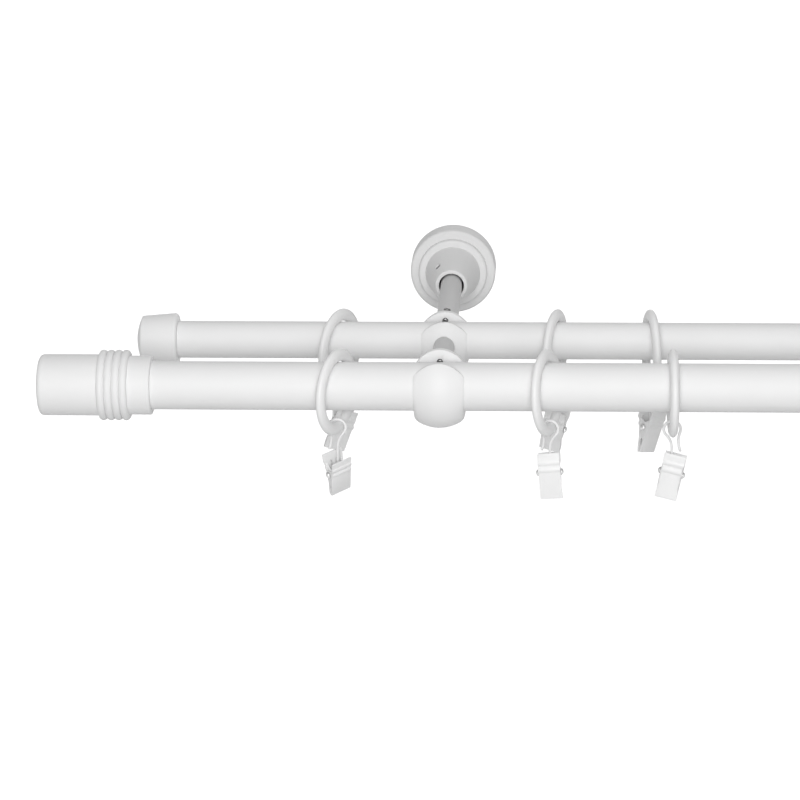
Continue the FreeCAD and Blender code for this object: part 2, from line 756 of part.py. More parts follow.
def clip_jaw(name, ear_inset, place):
    """Local origin on the pin's axis, the plate towards -Y and the mouth towards -Z."""
    body = doc.addObject("PartDesign::Body", name)
    tip = clip_mouth_gap / 2
    slope = (clip_knee - tip) / (clip_bottom + clip_knee_height)
    flare_run = clip_top - clip_knee_height
    flare = (clip_flare - clip_knee) / flare_run

    def inner(height):
        if height.value <= clip_knee_height.value:
            return -(tip + slope * (height + clip_bottom))
        return -(clip_knee + flare * (height - clip_knee_height))

    ears = new_sketch(body, name + "_ear_outline", "YZ_Plane")
    shoulder = (ear_radius * ear_radius - ear_half_height * ear_half_height).root()
    sunk = clip_sheet / 2
    draw(ears, [
        (inner(-ear_foot) - sunk, -ear_foot),
        (shoulder, -ear_half_height, bend(ear_radius)),
        (shoulder, ear_half_height),
        (inner(ear_head) - sunk, ear_head),
        (inner(clip_knee_height) - sunk, clip_knee_height),
    ])
    span = clip_width - 2 * ear_inset
    block = body.newObject("PartDesign::Pad", name + "_ear_block")
    block.Profile = ears
    block.Midplane = True
    block.setExpression("Length", span.text)
    hollow = body.newObject("PartDesign::Pocket", name + "_between_ears")
    hollow.Profile = ears
    hollow.Midplane = True
    hollow.setExpression("Length", (span - 2 * clip_sheet).text)

    plate = new_sketch(body, name + "_plate_outline", "YZ_Plane")
    corners = [(inner(-clip_bottom), -clip_bottom), (inner(clip_knee_height), clip_knee_height)]
    corners.append((inner(clip_top), clip_top))
    corners.append((inner(clip_top) - clip_sheet, clip_top))
    for index in (1, 0):
        low = clip_knee_height + ridge_pitch * index
        high = low + ridge_length
        corners.append((inner(high) - clip_sheet, high, bend(ridge_rounding)))
        corners.append((inner(low) - clip_sheet, low))
    corners.append((inner(-clip_bottom) - clip_sheet, -clip_bottom))
    draw(plate, corners)
    sheet_pad = body.newObject("PartDesign::Pad", name + "_plate")
    sheet_pad.Profile = plate
    sheet_pad.Midplane = True
    sheet_pad.setExpression("Length", clip_width.text)

    hole = new_sketch(body, name + "_pin_hole_outline", "YZ_Plane")
    circle = Part.Circle(Vector(0, 0, 0), Vector(0, 0, 1), (pin_radius + pin_fit).value)
    edge = hole.addGeometry(circle, False)
    hole.addConstraint(Sketcher.Constraint("Coincident", edge, 3, -1, 1))
    row = hole.addConstraint(Sketcher.Constraint("Radius", edge, (pin_radius + pin_fit).value))
    hole.setExpression(f"Constraints[{row}]", (pin_radius + pin_fit).text)
    bore = body.newObject("PartDesign::Pocket", name + "_pin_hole")
    bore.Profile = hole
    bore.Midplane = True
    bore.setExpression("Length", (clip_width + 2).text)
    body.Label = name
    put(body, place)
    return body


# Pin with domed heads and the two coils of the spring round it

def clip_pin(name, place):
    half = clip_width / 2 + pin_head_gap
    tip = half + pin_head_length
    dome = (pin_head_radius * pin_head_radius + pin_head_length * pin_head_length) / (2 * pin_head_length)
    coil_end = coil_start + coil_length
    piece = turned(name, [
        (-tip, 0, bend(dome, "right")),
        (-half, pin_head_radius),
        (-half, pin_radius),
        (-coil_end, pin_radius),
        (-coil_end, coil_radius),
        (-coil_start, coil_radius),
        (-coil_start, pin_radius),
        (coil_start, pin_radius),
        (coil_start, coil_radius),
        (coil_end, coil_radius),
        (coil_end, pin_radius),
        (half, pin_radius),
        (half, pin_head_radius, bend(dome, "right")),
        (tip, 0),
    ])
    put(piece, place)
    return piece


# Ring set: a ring on its pole, the hook through it and the clip on the hook

def ring_set(name, distance, pole_radius, along, ring_yaw, ring_lean, hook_yaw, clip_yaw, clip_tilt,
             clip_pitch):
    upright = Vector(0, 0, 1)
    across = Vector(0, 1, 0)
    lean = Rotation(upright, ring_yaw.value) * Rotation(across, ring_lean.value)
    ring_centre = pole_radius + ring_gap - (ring_outer_radius - ring_depth)
    pieces = [curtain_ring("ring_" + name, at(along, -distance, ring_centre, lean))]
    lowest = lean.multVec(Vector(0, 0, -1))
    reach = ring_outer_radius - ring_depth / 2
    below = along + reach * lowest.x
    back = reach * lowest.y - distance
    pin_level = ring_centre + reach * lowest.z - hook_drop
    foot = pin_radius + hook_gap
    pieces.append(wire_hook("hook_" + name, at(below, back, pin_level + foot,
                                               Rotation(upright, hook_yaw.value))))
    tilt = Rotation(upright, clip_yaw.value) * Rotation(across, clip_tilt.value)
    tilt = tilt * Rotation(Vector(1, 0, 0), clip_pitch.value)
    place = at(below, back, pin_level, tilt)
    pieces.append(clip_pin("clip_pin_" + name, place))
    no_inset = Size.of(0)
    pieces.append(clip_jaw("clip_front_jaw_" + name, no_inset, place))
    pieces.append(clip_jaw("clip_back_jaw_" + name, clip_sheet + ear_gap,
                           at(below, back, pin_level, tilt * FLIPPED)))
    return pieces


def hanging(name, values):
    """The seven sheet cells of one ring set: a distance along the pole, then angles."""
    words = ("along", "ring_yaw", "ring_lean", "hook_yaw", "clip_yaw", "clip_tilt", "clip_pitch")
    return [cell(f"{name}_{word}", value) for word, value in zip(words, values)]


nodes = []
nodes += bracket("left", Size.of(0))
nodes += bracket("right", bracket_spacing)
nodes.append(pole("front_pole", front_pole_radius, front_overhang, finial_socket_depth,
                  front_pole_distance))
nodes.append(pole("rear_pole", rear_pole_radius, rear_overhang, cap_socket_depth,
                  rear_pole_distance))
front_rim = front_overhang + finial_length
rear_rim = rear_overhang + cap_length
nodes.append(finial("finial_left", at(-front_rim, -front_pole_distance, 0)))
nodes.append(finial("finial_right", at(bracket_spacing + front_rim, -front_pole_distance, 0, FLIPPED)))
nodes.append(end_cap("end_cap_left", at(-rear_rim, -rear_pole_distance, 0)))
nodes.append(end_cap("end_cap_right", at(bracket_spacing + rear_rim, -rear_pole_distance, 0, FLIPPED)))

FRONT_SETS = {
    "front_1": (-52.6, -21.5, 0, 180, 32, -14, 17),
    "front_2": (55.2, -17, -5, 166, -3, -5, -15),
    "front_3": (119.3, 1, 0, 1, -9, 11.5, -13),
}
REAR_SETS = {
    "rear_1": (-56.6, -24, 0, -10, 15, 18, 0),
    "rear_2": (59.2, -14, 0, -10, -18, 12, 0),
    "rear_3": (110.8, 7.5, 0, 10, 45, 13, 0),
}
for set_name, values in FRONT_SETS.items():
    nodes += ring_set(set_name, front_pole_distance, front_pole_radius, *hanging(set_name, values))
for set_name, values in REAR_SETS.items():
    nodes += ring_set(set_name, rear_pole_distance, rear_pole_radius, *hanging(set_name, values))

doc.recompute()

for item in doc.Objects:
    if "Invalid" in item.State or "Error" in item.State:
        raise RuntimeError(f"{item.Label} did not build: {item.State}")
for node in nodes:
    if node.Shape.isNull() or not node.Shape.isValid():
        raise RuntimeError(f"{node.Label} has no valid shape")
    if len(node.Shape.Solids) != 1:
        raise RuntimeError(f"{node.Label} has {len(node.Shape.Solids)} solids")

os.makedirs("parts", exist_ok=True)
for node in nodes:
    node.Shape.exportStep(f"parts/{node.Label}.step")
print(len(nodes), "pieces written")
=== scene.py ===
import json
import math

import bmesh
import bpy
from mathutils import Matrix, Vector


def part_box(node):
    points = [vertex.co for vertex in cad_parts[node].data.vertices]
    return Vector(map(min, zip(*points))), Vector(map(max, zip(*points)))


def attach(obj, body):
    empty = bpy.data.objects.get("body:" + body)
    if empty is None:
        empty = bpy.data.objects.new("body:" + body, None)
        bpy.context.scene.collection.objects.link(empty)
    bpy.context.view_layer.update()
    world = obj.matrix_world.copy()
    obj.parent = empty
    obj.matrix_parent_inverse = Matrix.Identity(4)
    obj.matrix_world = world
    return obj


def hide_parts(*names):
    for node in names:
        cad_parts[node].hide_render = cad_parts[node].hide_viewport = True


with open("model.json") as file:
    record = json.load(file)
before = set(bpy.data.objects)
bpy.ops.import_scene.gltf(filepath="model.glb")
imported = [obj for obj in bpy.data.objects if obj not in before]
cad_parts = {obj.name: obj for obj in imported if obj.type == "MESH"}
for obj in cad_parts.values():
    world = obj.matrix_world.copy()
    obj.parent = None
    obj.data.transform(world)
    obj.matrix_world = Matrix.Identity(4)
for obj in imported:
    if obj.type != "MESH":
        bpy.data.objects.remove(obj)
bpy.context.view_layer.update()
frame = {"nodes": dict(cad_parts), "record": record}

NODES = frame["nodes"]
BODY_OF = {node: body for body, members in frame["record"]["behaviour"]["bodies"].items() for node in members}
MM = 0.001


# Shader maths written as plain sums

class Signal:
    """A socket of a material, with sums and mixes written as Python."""

    def __init__(self, tree, socket):
        self.tree = tree
        self.socket = socket

    def node(self, kind, settings=None, **inputs):
        """A node of any kind: its settings first, then the values or links of its inputs."""
        made = self.tree.nodes.new(kind)
        for name, value in (settings or {}).items():
            setattr(made, name, value)
        for name, value in inputs.items():
            by_number = name[0] == "n" and name[1:].isdigit()
            target = made.inputs[int(name[1:])] if by_number else made.inputs[name]
            if isinstance(value, Signal):
                self.tree.links.new(value.socket, target)
            else:
                target.default_value = value
        return made

    def wrap(self, socket):
        return Signal(self.tree, socket)

    def maths(self, operation, first, second):
        made = self.node("ShaderNodeMath", {"operation": operation}, n0=first, n1=second)
        return self.wrap(made.outputs[0])

    def larger(self, other):
        return self.maths("MAXIMUM", self, other)

    def __add__(self, other):
        return self.maths("ADD", self, other)

    def __radd__(self, other):
        return self.maths("ADD", other, self)

    def __sub__(self, other):
        return self.maths("SUBTRACT", self, other)

    def __rsub__(self, other):
        return self.maths("SUBTRACT", other, self)

    def __mul__(self, other):
        return self.maths("MULTIPLY", self, other)

    def __rmul__(self, other):
        return self.maths("MULTIPLY", other, self)

    def noise(self, scale, detail=2.0, rough=0.5):
        """Noise on the object's own coordinates, scale in waves per metre."""
        made = self.node("ShaderNodeTexNoise", {}, Vector=self, Scale=scale, Detail=detail, Roughness=rough)
        return self.wrap(made.outputs["Fac"])

    def between(self, dark, light):
        """A colour between two, by this value."""
        made = self.node(
            "ShaderNodeMix", {"data_type": "RGBA"}, n0=self, n6=(*dark, 1.0), n7=(*light, 1.0))
        return self.wrap(made.outputs[2])


def new_material(name):
    material = bpy.data.materials.new(name)
    material.use_nodes = True
    tree = material.node_tree
    tree.nodes.clear()
    output = tree.nodes.new("ShaderNodeOutputMaterial")
    place = Signal(tree, tree.nodes.new("ShaderNodeTexCoord").outputs["Object"])
    return material, output, place


TONE_SCALE = 38.0
SHEEN_SCALE = 120.0
BROAD_GRAIN = 0.18
FINE_SHARE = 0.7
BROAD_SHARE = 0.3
BUMP_STRENGTH = 0.6


def coated(name, dark, light, roughness, spread, grain, depth, metallic=0.0):
    """Paint, moulded plastic or bare steel: faint tone changes, uneven sheen and a fine grain."""
    material, output, place = new_material(name)
    tone = place.noise(TONE_SCALE, 3.0)
    fine = place.noise(grain, 2.0, 0.55)
    broad = place.noise(grain * BROAD_GRAIN, 1.0)
    relief = fine * FINE_SHARE + broad * BROAD_SHARE
    bump = place.node("ShaderNodeBump", {}, Height=relief, Distance=depth, Strength=BUMP_STRENGTH)
    sheen = place.noise(SHEEN_SCALE, 2.0) * spread + (roughness - spread / 2)
    shader = place.node(
        "ShaderNodeBsdfPrincipled", {}, **{"Base Color": tone.between(dark, light)}, Roughness=sheen,
        Metallic=metallic, Normal=place.wrap(bump.outputs["Normal"]))
    place.tree.links.new(shader.outputs[0], output.inputs["Surface"])
    return material


def grey(level):
    return (level, level, level)


# Tone from dark to light, roughness and its spread, grain in waves per metre, depth of the relief in metres
MATERIALS = {
    "pole_paint": coated("pole_paint", grey(0.83), grey(0.86), 0.62, 0.08, 1500.0, 0.00003),
    "finial_paint": coated("finial_paint", grey(0.83), grey(0.86), 0.58, 0.08, 1300.0, 0.00004),
    "cap_plastic": coated("cap_plastic", grey(0.83), grey(0.86), 0.46, 0.06, 2200.0, 0.00003),
    "cup_paint": coated("cup_paint", grey(0.83), grey(0.86), 0.55, 0.1, 1100.0, 0.00005),
    # painted shade: the rosette's white paint is set darker (0.74 to 0.77) to stand in for the shade it lies
    # in behind the poles and cups
    "rosette_paint": coated("rosette_paint", grey(0.74), grey(0.77), 0.55, 0.1, 1100.0, 0.00005),
    # painted shade: the stem is the same white paint, set darker (0.6 to 0.65) to stand in for the shade it
    # lies in
    "stem_paint": coated("stem_paint", grey(0.6), grey(0.65), 0.55, 0.08, 1500.0, 0.00003),
    "ring_plastic": coated("ring_plastic", grey(0.84), grey(0.87), 0.48, 0.06, 2200.0, 0.00003),
    "wire_paint": coated("wire_paint", grey(0.82), grey(0.85), 0.4, 0.08, 3000.0, 0.00002),
    "clip_paint": coated("clip_paint", grey(0.85), grey(0.88), 0.42, 0.1, 2400.0, 0.00003),
    "pin_steel": coated("pin_steel", grey(0.5), grey(0.6), 0.32, 0.1, 4000.0, 0.00001, 1.0),
    # painted shade: the steel is darkened to near black to stand in for the shade on the screw's sides and in
    # the gap of its hole
    "screw_steel": coated("screw_steel", grey(0.1), grey(0.18), 0.24, 0.12, 4000.0, 0.00001, 1.0),
    "plate_zinc": coated("plate_zinc", grey(0.5), grey(0.64), 0.38, 0.16, 900.0, 0.00003, 1.0),
}
SLOT_OF = {entry["node"]: entry["material_slot"] for entry in frame["record"]["subparts"]}
for node, slot_name in SLOT_OF.items():
    NODES[node].data.materials.clear()
    NODES[node].data.materials.append(MATERIALS[slot_name])


# Making a finished piece from a worked mesh

SMOOTH_ANGLE = math.radians(38)
WELD_DISTANCE = 0.002 * MM


def finished(builder, name, slot_name, body, replaced=()):
    """Close the work on a mesh: one object at the origin, painted, riding on its body."""
    bmesh.ops.remove_doubles(builder, verts=builder.verts, dist=WELD_DISTANCE)
    bmesh.ops.recalc_face_normals(builder, faces=builder.faces)
    mesh = bpy.data.meshes.new(name)
    builder.to_mesh(mesh)
    builder.free()
    mesh.shade_smooth()
    mesh.set_sharp_from_angle(angle=SMOOTH_ANGLE)
    mesh.materials.append(MATERIALS[slot_name])
    piece = bpy.data.objects.new(name, mesh)
    bpy.context.scene.collection.objects.link(piece)
    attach(piece, body)
    if replaced:
        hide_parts(*replaced)
    return piece


SHARP_ANGLE = math.radians(35)
FLAT_ANGLE = math.radians(0.6)
COPY_WELD = 0.005 * MM
CUP_CORE = 7
CUP_DROP = 1
CAST_EDGE = 0.3


def merged_copy(node):
    """A working copy of a node's mesh, welded and with its flat faces whole."""
    builder = bmesh.new()
    builder.from_mesh(NODES[node].data)
    bmesh.ops.remove_doubles(builder, verts=builder.verts, dist=COPY_WELD)
    bmesh.ops.dissolve_limit(builder, angle_limit=FLAT_ANGLE, verts=builder.verts, edges=builder.edges)
    bmesh.ops.recalc_face_normals(builder, faces=builder.faces)
    return builder


def is_sharp(edge):
    return len(edge.link_faces) == 2 and edge.calc_face_angle() > SHARP_ANGLE


def round_over(builder, edges, width, segments=3):
    """Bevel the edges to a round of this width in millimetres."""
    bmesh.ops.bevel(
        builder, geom=edges, offset=width * MM, offset_type="OFFSET", affect="EDGES", segments=segments,
        profile=0.5, material=-1, clamp_overlap=True)


def cheek_half_width(cup, way):
    """Half width of the solid cup where its rounded cheek meets the pole, seen along way."""
    axis = Vector((0, cup["setback"], -CUP_DROP))
    along = way.dot(axis)
    meeting = math.sqrt(along ** 2 + cup["bore"] ** 2 - axis.length_squared) - along
    reach = math.sqrt((cup["crown"] - cup["corner"]) ** 2 - (cup["half"] - cup["corner"]) ** 2)
    depth = meeting - (cup["radius"] - cup["crown"] + reach)
    if depth <= 0:
        return cup["half"]
    return cup["half"] - cup["corner"] + math.sqrt(cup["corner"] ** 2 - depth ** 2)


def cast_cup(node, cup):
    """The cup as it is cast: cheeks straight across the pole, a broad back wall and rounded edges."""
    builder = merged_copy(node)
    low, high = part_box(node)
    middle = Vector(((low[0] + high[0]) / 2, -cup["distance"] * MM, 0))
    for vert in builder.verts:
        spot = (vert.co - middle) / MM
        beyond = abs(spot.x) - CUP_CORE
        way = Vector((0, spot.y - cup["setback"], spot.z + CUP_DROP))
        if beyond <= 0 or way.length < 1:
            continue
        share = min(max(spot.y / cup["bore"], 0), 1)
        wanted = cup["cheek"] + (cup["wall"] - cup["cheek"]) * share
        gain = (wanted - CUP_CORE) / (cheek_half_width(cup, way.normalized()) - CUP_CORE)
        vert.co.x = middle.x + math.copysign(CUP_CORE + beyond * gain, spot.x) * MM
    round_over(builder, [edge for edge in builder.edges if is_sharp(edge)], CAST_EDGE)
    finished(builder, node + "_cast", SLOT_OF[node], BODY_OF[node], (node,))


def cut(builder, point, normal):
    """Split the mesh's faces where they cross a plane."""
    geometry = list(builder.verts) + list(builder.edges) + list(builder.faces)
    bmesh.ops.bisect_plane(builder, geom=geometry, dist=0.001 * MM, plane_co=point, plane_no=normal)


def narrowed(builder):
    """Draw the sheet's edges in beside the ears, on the jaw whose ears stand inside the other's."""
    for level in WAIST_LEVELS:
        cut(builder, (0, 0, level * MM), (0, 0, 1))
    low, high = WAIST_LEVELS[0], WAIST_LEVELS[-1]
    for vert in builder.verts:
        level = vert.co.z / MM
        if abs(vert.co.x) / MM > SHEET_EDGE and low < level < high:
            share = min((level - low) / WAIST_EASE, (high - level) / WAIST_EASE, 1)
            drawn_in = WAIST_DEPTH * share * share * (3 - 2 * share)
            vert.co.x = math.copysign((CLIP_HALF_WIDTH - drawn_in) * MM, vert.co.x)


def pressed_jaw(name, way, angles):
    """The jaw as it is pressed: broad folds where its ears turn back, rounded corners and eased edges."""
    node = f"clip_{way}_jaw_{name}"
    other = {"front": "back", "back": "front"}[way]
    place = Matrix.Translation(PIN_AT[name]) @ clip_turn(angles).to_4x4()
    turned_round = name in TURNED_ROUND
    builder = merged_copy(f"clip_{other}_jaw_{name}" if turned_round else node)
    bmesh.ops.transform(builder, verts=builder.verts, matrix=place.inverted())
    if turned_round:
        bmesh.ops.transform(builder, verts=builder.verts, matrix=Matrix.Rotation(math.pi, 4, "Z"))
    if (way == "back") != turned_round:
        narrowed(builder)
    folds, corners = [], []
    for edge in builder.edges:
        first, last = edge.verts[0].co / MM, edge.verts[1].co / MM
        along = last - first
        if not is_sharp(edge) or min(abs(first.x), abs(last.x)) < SHEET_EDGE:
            continue
        if abs(along.z) > FOLD_LENGTH and min(abs(first.y), abs(last.y)) > SHEET_OUTSIDE:
            folds.append(edge)
        elif along.length < CORNER_LENGTH and max(abs(along.x), abs(along.z)) < CORNER_LEAN:
            corners.append(edge)
    if corners:
        round_over(builder, corners, CORNER_ROUNDING, 4)
    kept = [edge for edge in folds if edge.is_valid]
    if kept:
        round_over(builder, kept, FOLD_ROUNDING, 4)
    round_over(builder, [edge for edge in builder.edges if is_sharp(edge)], CUT_EDGE, 2)
    bmesh.ops.transform(builder, verts=builder.verts, matrix=place)
    finished(builder, node + "_pressed", SLOT_OF[node], BODY_OF[node], (node,))


def slotted_screw(node, top, outward, radius, length):
    """A grub screw with a domed and slotted end at top, in millimetres, that faces outward."""
    builder = bmesh.new()
    outline = [(radius, -length), (radius, -0.5), (radius * 0.93, -0.26), (radius * 0.72, -0.1),
               (radius * 0.4, -0.02), (0, 0)]
    verts = [builder.verts.new((across * MM, 0, level * MM)) for across, level in outline]
    edges = [builder.edges.new(pair) for pair in zip(verts, verts[1:])]
    bmesh.ops.spin(
        builder, geom=verts + edges, cent=(0, 0, 0), axis=(0, 0, 1), dvec=(0, 0, 0), angle=math.tau,
        steps=24, use_merge=True, use_duplicate=False)
    bmesh.ops.remove_doubles(builder, verts=builder.verts, dist=WELD_DISTANCE)
    bmesh.ops.holes_fill(builder, edges=builder.edges)
    for side in (-1, 1):
        cut(builder, (side * SLOT_HALF_WIDTH, 0, 0), (1, 0, 0))
    bmesh.ops.recalc_face_normals(builder, faces=builder.faces)
    floor_faces = [face for face in builder.faces
                   if face.calc_center_median().z > -SCREW_CROWN
                   and max(abs(vert.co.x) for vert in face.verts) < SLOT_HALF_WIDTH + 0.01 * MM]
    made = bmesh.ops.extrude_face_region(builder, geom=floor_faces)["geom"]
    sunk = [part for part in made if isinstance(part, bmesh.types.BMVert)]
    bmesh.ops.translate(builder, verts=sunk, vec=(0, 0, -SLOT_DEPTH))
    bmesh.ops.delete(builder, geom=[face for face in floor_faces if face.is_valid], context="FACES_ONLY")
    turn = Vector(outward).to_track_quat("Z", "Y").to_matrix().to_4x4()
    bmesh.ops.transform(builder, verts=builder.verts, matrix=Matrix.Translation(Vector(top) * MM) @ turn)
    finished(builder, node + "_slotted", "screw_steel", BODY_OF[node], (node,))


# Wire, drawn forward run by run and bent round centres

BEND_STEP = 9
TIP_STEPS = ((0.45, 0.88), (0.3, 0.66))


class Wire:
    """A round wire that grows from its end: straight runs, bends and windings."""

    def __init__(self, radius, start, heading, sides=16):
        self.builder = bmesh.new()
        self.radius = radius
        self.spot = Vector(start)
        self.heading = Vector(heading).normalized()
        turn = self.heading.to_track_quat("Z", "Y").to_matrix().to_4x4()
        ring = bmesh.ops.create_circle(
            self.builder, cap_ends=False, radius=radius, segments=sides,
            matrix=Matrix.Translation(self.spot) @ turn)
        self.loop = list({edge for vert in ring["verts"] for edge in vert.link_edges})
        self.tip(-self.heading)

    def loop_verts(self):
        return list({vert for edge in self.loop for vert in edge.verts})

    def grow(self, shift, scale=1.0):
        made = bmesh.ops.extrude_edge_only(self.builder, edges=self.loop)["geom"]
        verts = [part for part in made if isinstance(part, bmesh.types.BMVert)]
        edges = [part for part in made if isinstance(part, bmesh.types.BMEdge)]
        bmesh.ops.translate(self.builder, verts=verts, vec=shift)
        centre = Vector((0, 0, 0))
        for vert in verts:
            centre += vert.co / len(verts)
        bmesh.ops.scale(self.builder, verts=verts, vec=(scale,) * 3, space=Matrix.Translation(-centre))
        return edges

    def tip(self, outward):
        """Round off the end that the loop lies on, and leave the loop where it was."""
        kept = self.loop
        for step, scale in TIP_STEPS:
            self.loop = self.grow(outward * self.radius * step, scale)
        bmesh.ops.holes_fill(self.builder, edges=self.loop)
        self.loop = kept

    def run(self, length):
        self.loop = self.grow(self.heading * length)
        self.spot += self.heading * length

    def bend(self, axis, degrees, radius, advance=0.0):
        """Turn the heading round an axis, with the wire's middle on a circle of this radius."""
        axis = Vector(axis).normalized()
        centre = self.spot + axis.cross(self.heading) * radius
        steps = max(3, round(abs(degrees) / BEND_STEP))
        made = bmesh.ops.spin(
            self.builder, geom=self.loop + self.loop_verts(), cent=centre, axis=axis,
            dvec=axis * (advance / steps), angle=math.radians(degrees), steps=steps,
            use_duplicate=False)["geom_last"]
        self.loop = [part for part in made if isinstance(part, bmesh.types.BMEdge)]
        turn = Matrix.Rotation(math.radians(degrees), 3, axis)
        self.spot = centre + turn @ (self.spot - centre) + axis * advance
        self.heading = turn @ self.heading

    def end(self):
        self.tip(self.heading)
        return self.builder


# Ring sets: the angles that each clip and hook hangs at, as in the solids

SETS = {
    "front_1": {"hook_yaw": 180, "clip_yaw": 32, "clip_tilt": -14, "clip_pitch": 17},
    "front_2": {"hook_yaw": 166, "clip_yaw": -3, "clip_tilt": -5, "clip_pitch": -15},
    "front_3": {"hook_yaw": 1, "clip_yaw": -9, "clip_tilt": 11.5, "clip_pitch": -13},
    "rear_1": {"hook_yaw": -10, "clip_yaw": 15, "clip_tilt": 18, "clip_pitch": 0},
    "rear_2": {"hook_yaw": -10, "clip_yaw": -18, "clip_tilt": 12, "clip_pitch": 0},
    "rear_3": {"hook_yaw": 10, "clip_yaw": 45, "clip_tilt": 13, "clip_pitch": 0},
}
PIN_AT = {joint["name"].replace("clip_jaw_", ""): Vector(joint["pos_m"])
          for joint in frame["record"]["behaviour"]["joints"] if joint["name"].startswith("clip_jaw_")}
WIRE_RADIUS = 0.75 * MM
LOOP_RADIUS = 4.35 * MM
NECK_RADIUS = 10.257 * MM
NECK_ANGLE = 45.4
LOOP_TURN = 245.4
TAIL_RADIUS = 14 * MM
TAIL_TURN = 42
LOOP_LEVEL = 23.6 * MM
NECK_BELOW_LOOP = 10.4 * MM
EYE_RADIUS = 1.9 * MM
EYE_TURN = 318
JOG_RADIUS = 2.2 * MM
PIN_RADIUS = 0.95
PIN_HEAD_GAP = 0.1
CLIP_HALF_WIDTH = 5.75
SHEET_EDGE = CLIP_HALF_WIDTH - 0.05
SHEET_OUTSIDE = 0.75
FOLD_LENGTH = 3
FOLD_ROUNDING = 0.55
CORNER_LENGTH = 1.1
CORNER_LEAN = 0.4
CORNER_ROUNDING = 0.7
CUT_EDGE = 0.1
TURNED_ROUND = ("front_3",)
WAIST_DEPTH = 0.65
WAIST_EASE = 4.5
WAIST_LEVELS = (-11, -10, -9, -8, -7, -6.5, -4, -1.5, 0.5, 1.5, 2.5, 3.5, 4.5, 5.5, 6.5)
SLOT_HALF_WIDTH = 0.35 * MM
SLOT_DEPTH = 0.6 * MM
SCREW_CROWN = 0.45 * MM
SPRING_WIRE = 0.34 * MM
COIL_RADIUS = 1.36 * MM
COIL_START = 1.75 * MM
COIL_PITCH = 0.74 * MM
LEG_LEAN = 19
LEG_LENGTH = 6.4 * MM
SPRING_SIDES = 10
FIXED_TURNS = 1.55
MOVING_TURNS = 0.5


def turn_about(axis, degrees):
    return Matrix.Rotation(math.radians(degrees), 3, axis)


def clip_turn(angles):
    return turn_about("Z", angles["clip_yaw"]) @ turn_about("Y", angles["clip_tilt"]) @ turn_about(
        "X", angles["clip_pitch"])


def wire_hook(name, angles):
    """The hook with its eye round the pin, its neck, the loop over the ring and the free tail."""
    pin = PIN_AT[name]
    pin_axis = turn_about("Z", angles["clip_yaw"]) @ Vector((1, 0, 0))
    side = Vector((0, 0, 1)).cross(pin_axis)
    jog = math.acos(1 - EYE_RADIUS / (2 * JOG_RADIUS))
    opening = math.radians(EYE_TURN)
    upward = Vector((0, 0, 1))
    start = pin + side * EYE_RADIUS * math.cos(opening) + upward * EYE_RADIUS * math.sin(-opening)
    heading = side * math.sin(opening) + upward * math.cos(opening)
    wire = Wire(WIRE_RADIUS, start, heading)
    wire.bend(pin_axis, EYE_TURN, EYE_RADIUS)
    wire.bend(pin_axis, math.degrees(jog), JOG_RADIUS)
    wire.bend(-pin_axis, math.degrees(jog), JOG_RADIUS)
    left = turn_about("Z", angles["hook_yaw"]) @ Vector((0, -1, 0))
    neck_level = pin.z + LOOP_LEVEL - NECK_BELOW_LOOP
    wire.run(neck_level - wire.spot.z)
    wire.bend(left, NECK_ANGLE, NECK_RADIUS)
    wire.bend(-left, LOOP_TURN, LOOP_RADIUS)
    wire.bend(left, TAIL_TURN, TAIL_RADIUS)
    finished(
        wire.end(), "bent_wire_hook_" + name, "wire_paint", BODY_OF["hook_" + name], ("hook_" + name,))


def turned_pin(name, angles):
    """The rivet pin with a domed head at each end, spun from its half outline."""
    head = CLIP_HALF_WIDTH + PIN_HEAD_GAP
    outline = [(0, PIN_RADIUS), (head, PIN_RADIUS), (head, 1.62), (head + 0.12, 1.78), (head + 0.45, 1.76),
               (head + 0.85, 1.5), (head + 1.15, 1.05), (head + 1.32, 0.52), (head + 1.38, 0)]
    builder = bmesh.new()
    verts = [builder.verts.new((along * MM, 0, radius * MM)) for along, radius in outline]
    edges = [builder.edges.new(pair) for pair in zip(verts, verts[1:])]
    bmesh.ops.spin(
        builder, geom=verts + edges, cent=(0, 0, 0), axis=(1, 0, 0), dvec=(0, 0, 0), angle=math.tau,
        steps=32, use_merge=True, use_duplicate=False)
    geometry = list(builder.verts) + list(builder.edges) + list(builder.faces)
    bmesh.ops.mirror(
        builder, geom=geometry, matrix=Matrix.Identity(4), merge_dist=WELD_DISTANCE, axis="X")
    place = Matrix.Translation(PIN_AT[name]) @ clip_turn(angles).to_4x4()
    bmesh.ops.transform(builder, verts=builder.verts, matrix=place)
    finished(
        builder, "rivet_pin_" + name, "pin_steel", BODY_OF["clip_pin_" + name], ("clip_pin_" + name,))


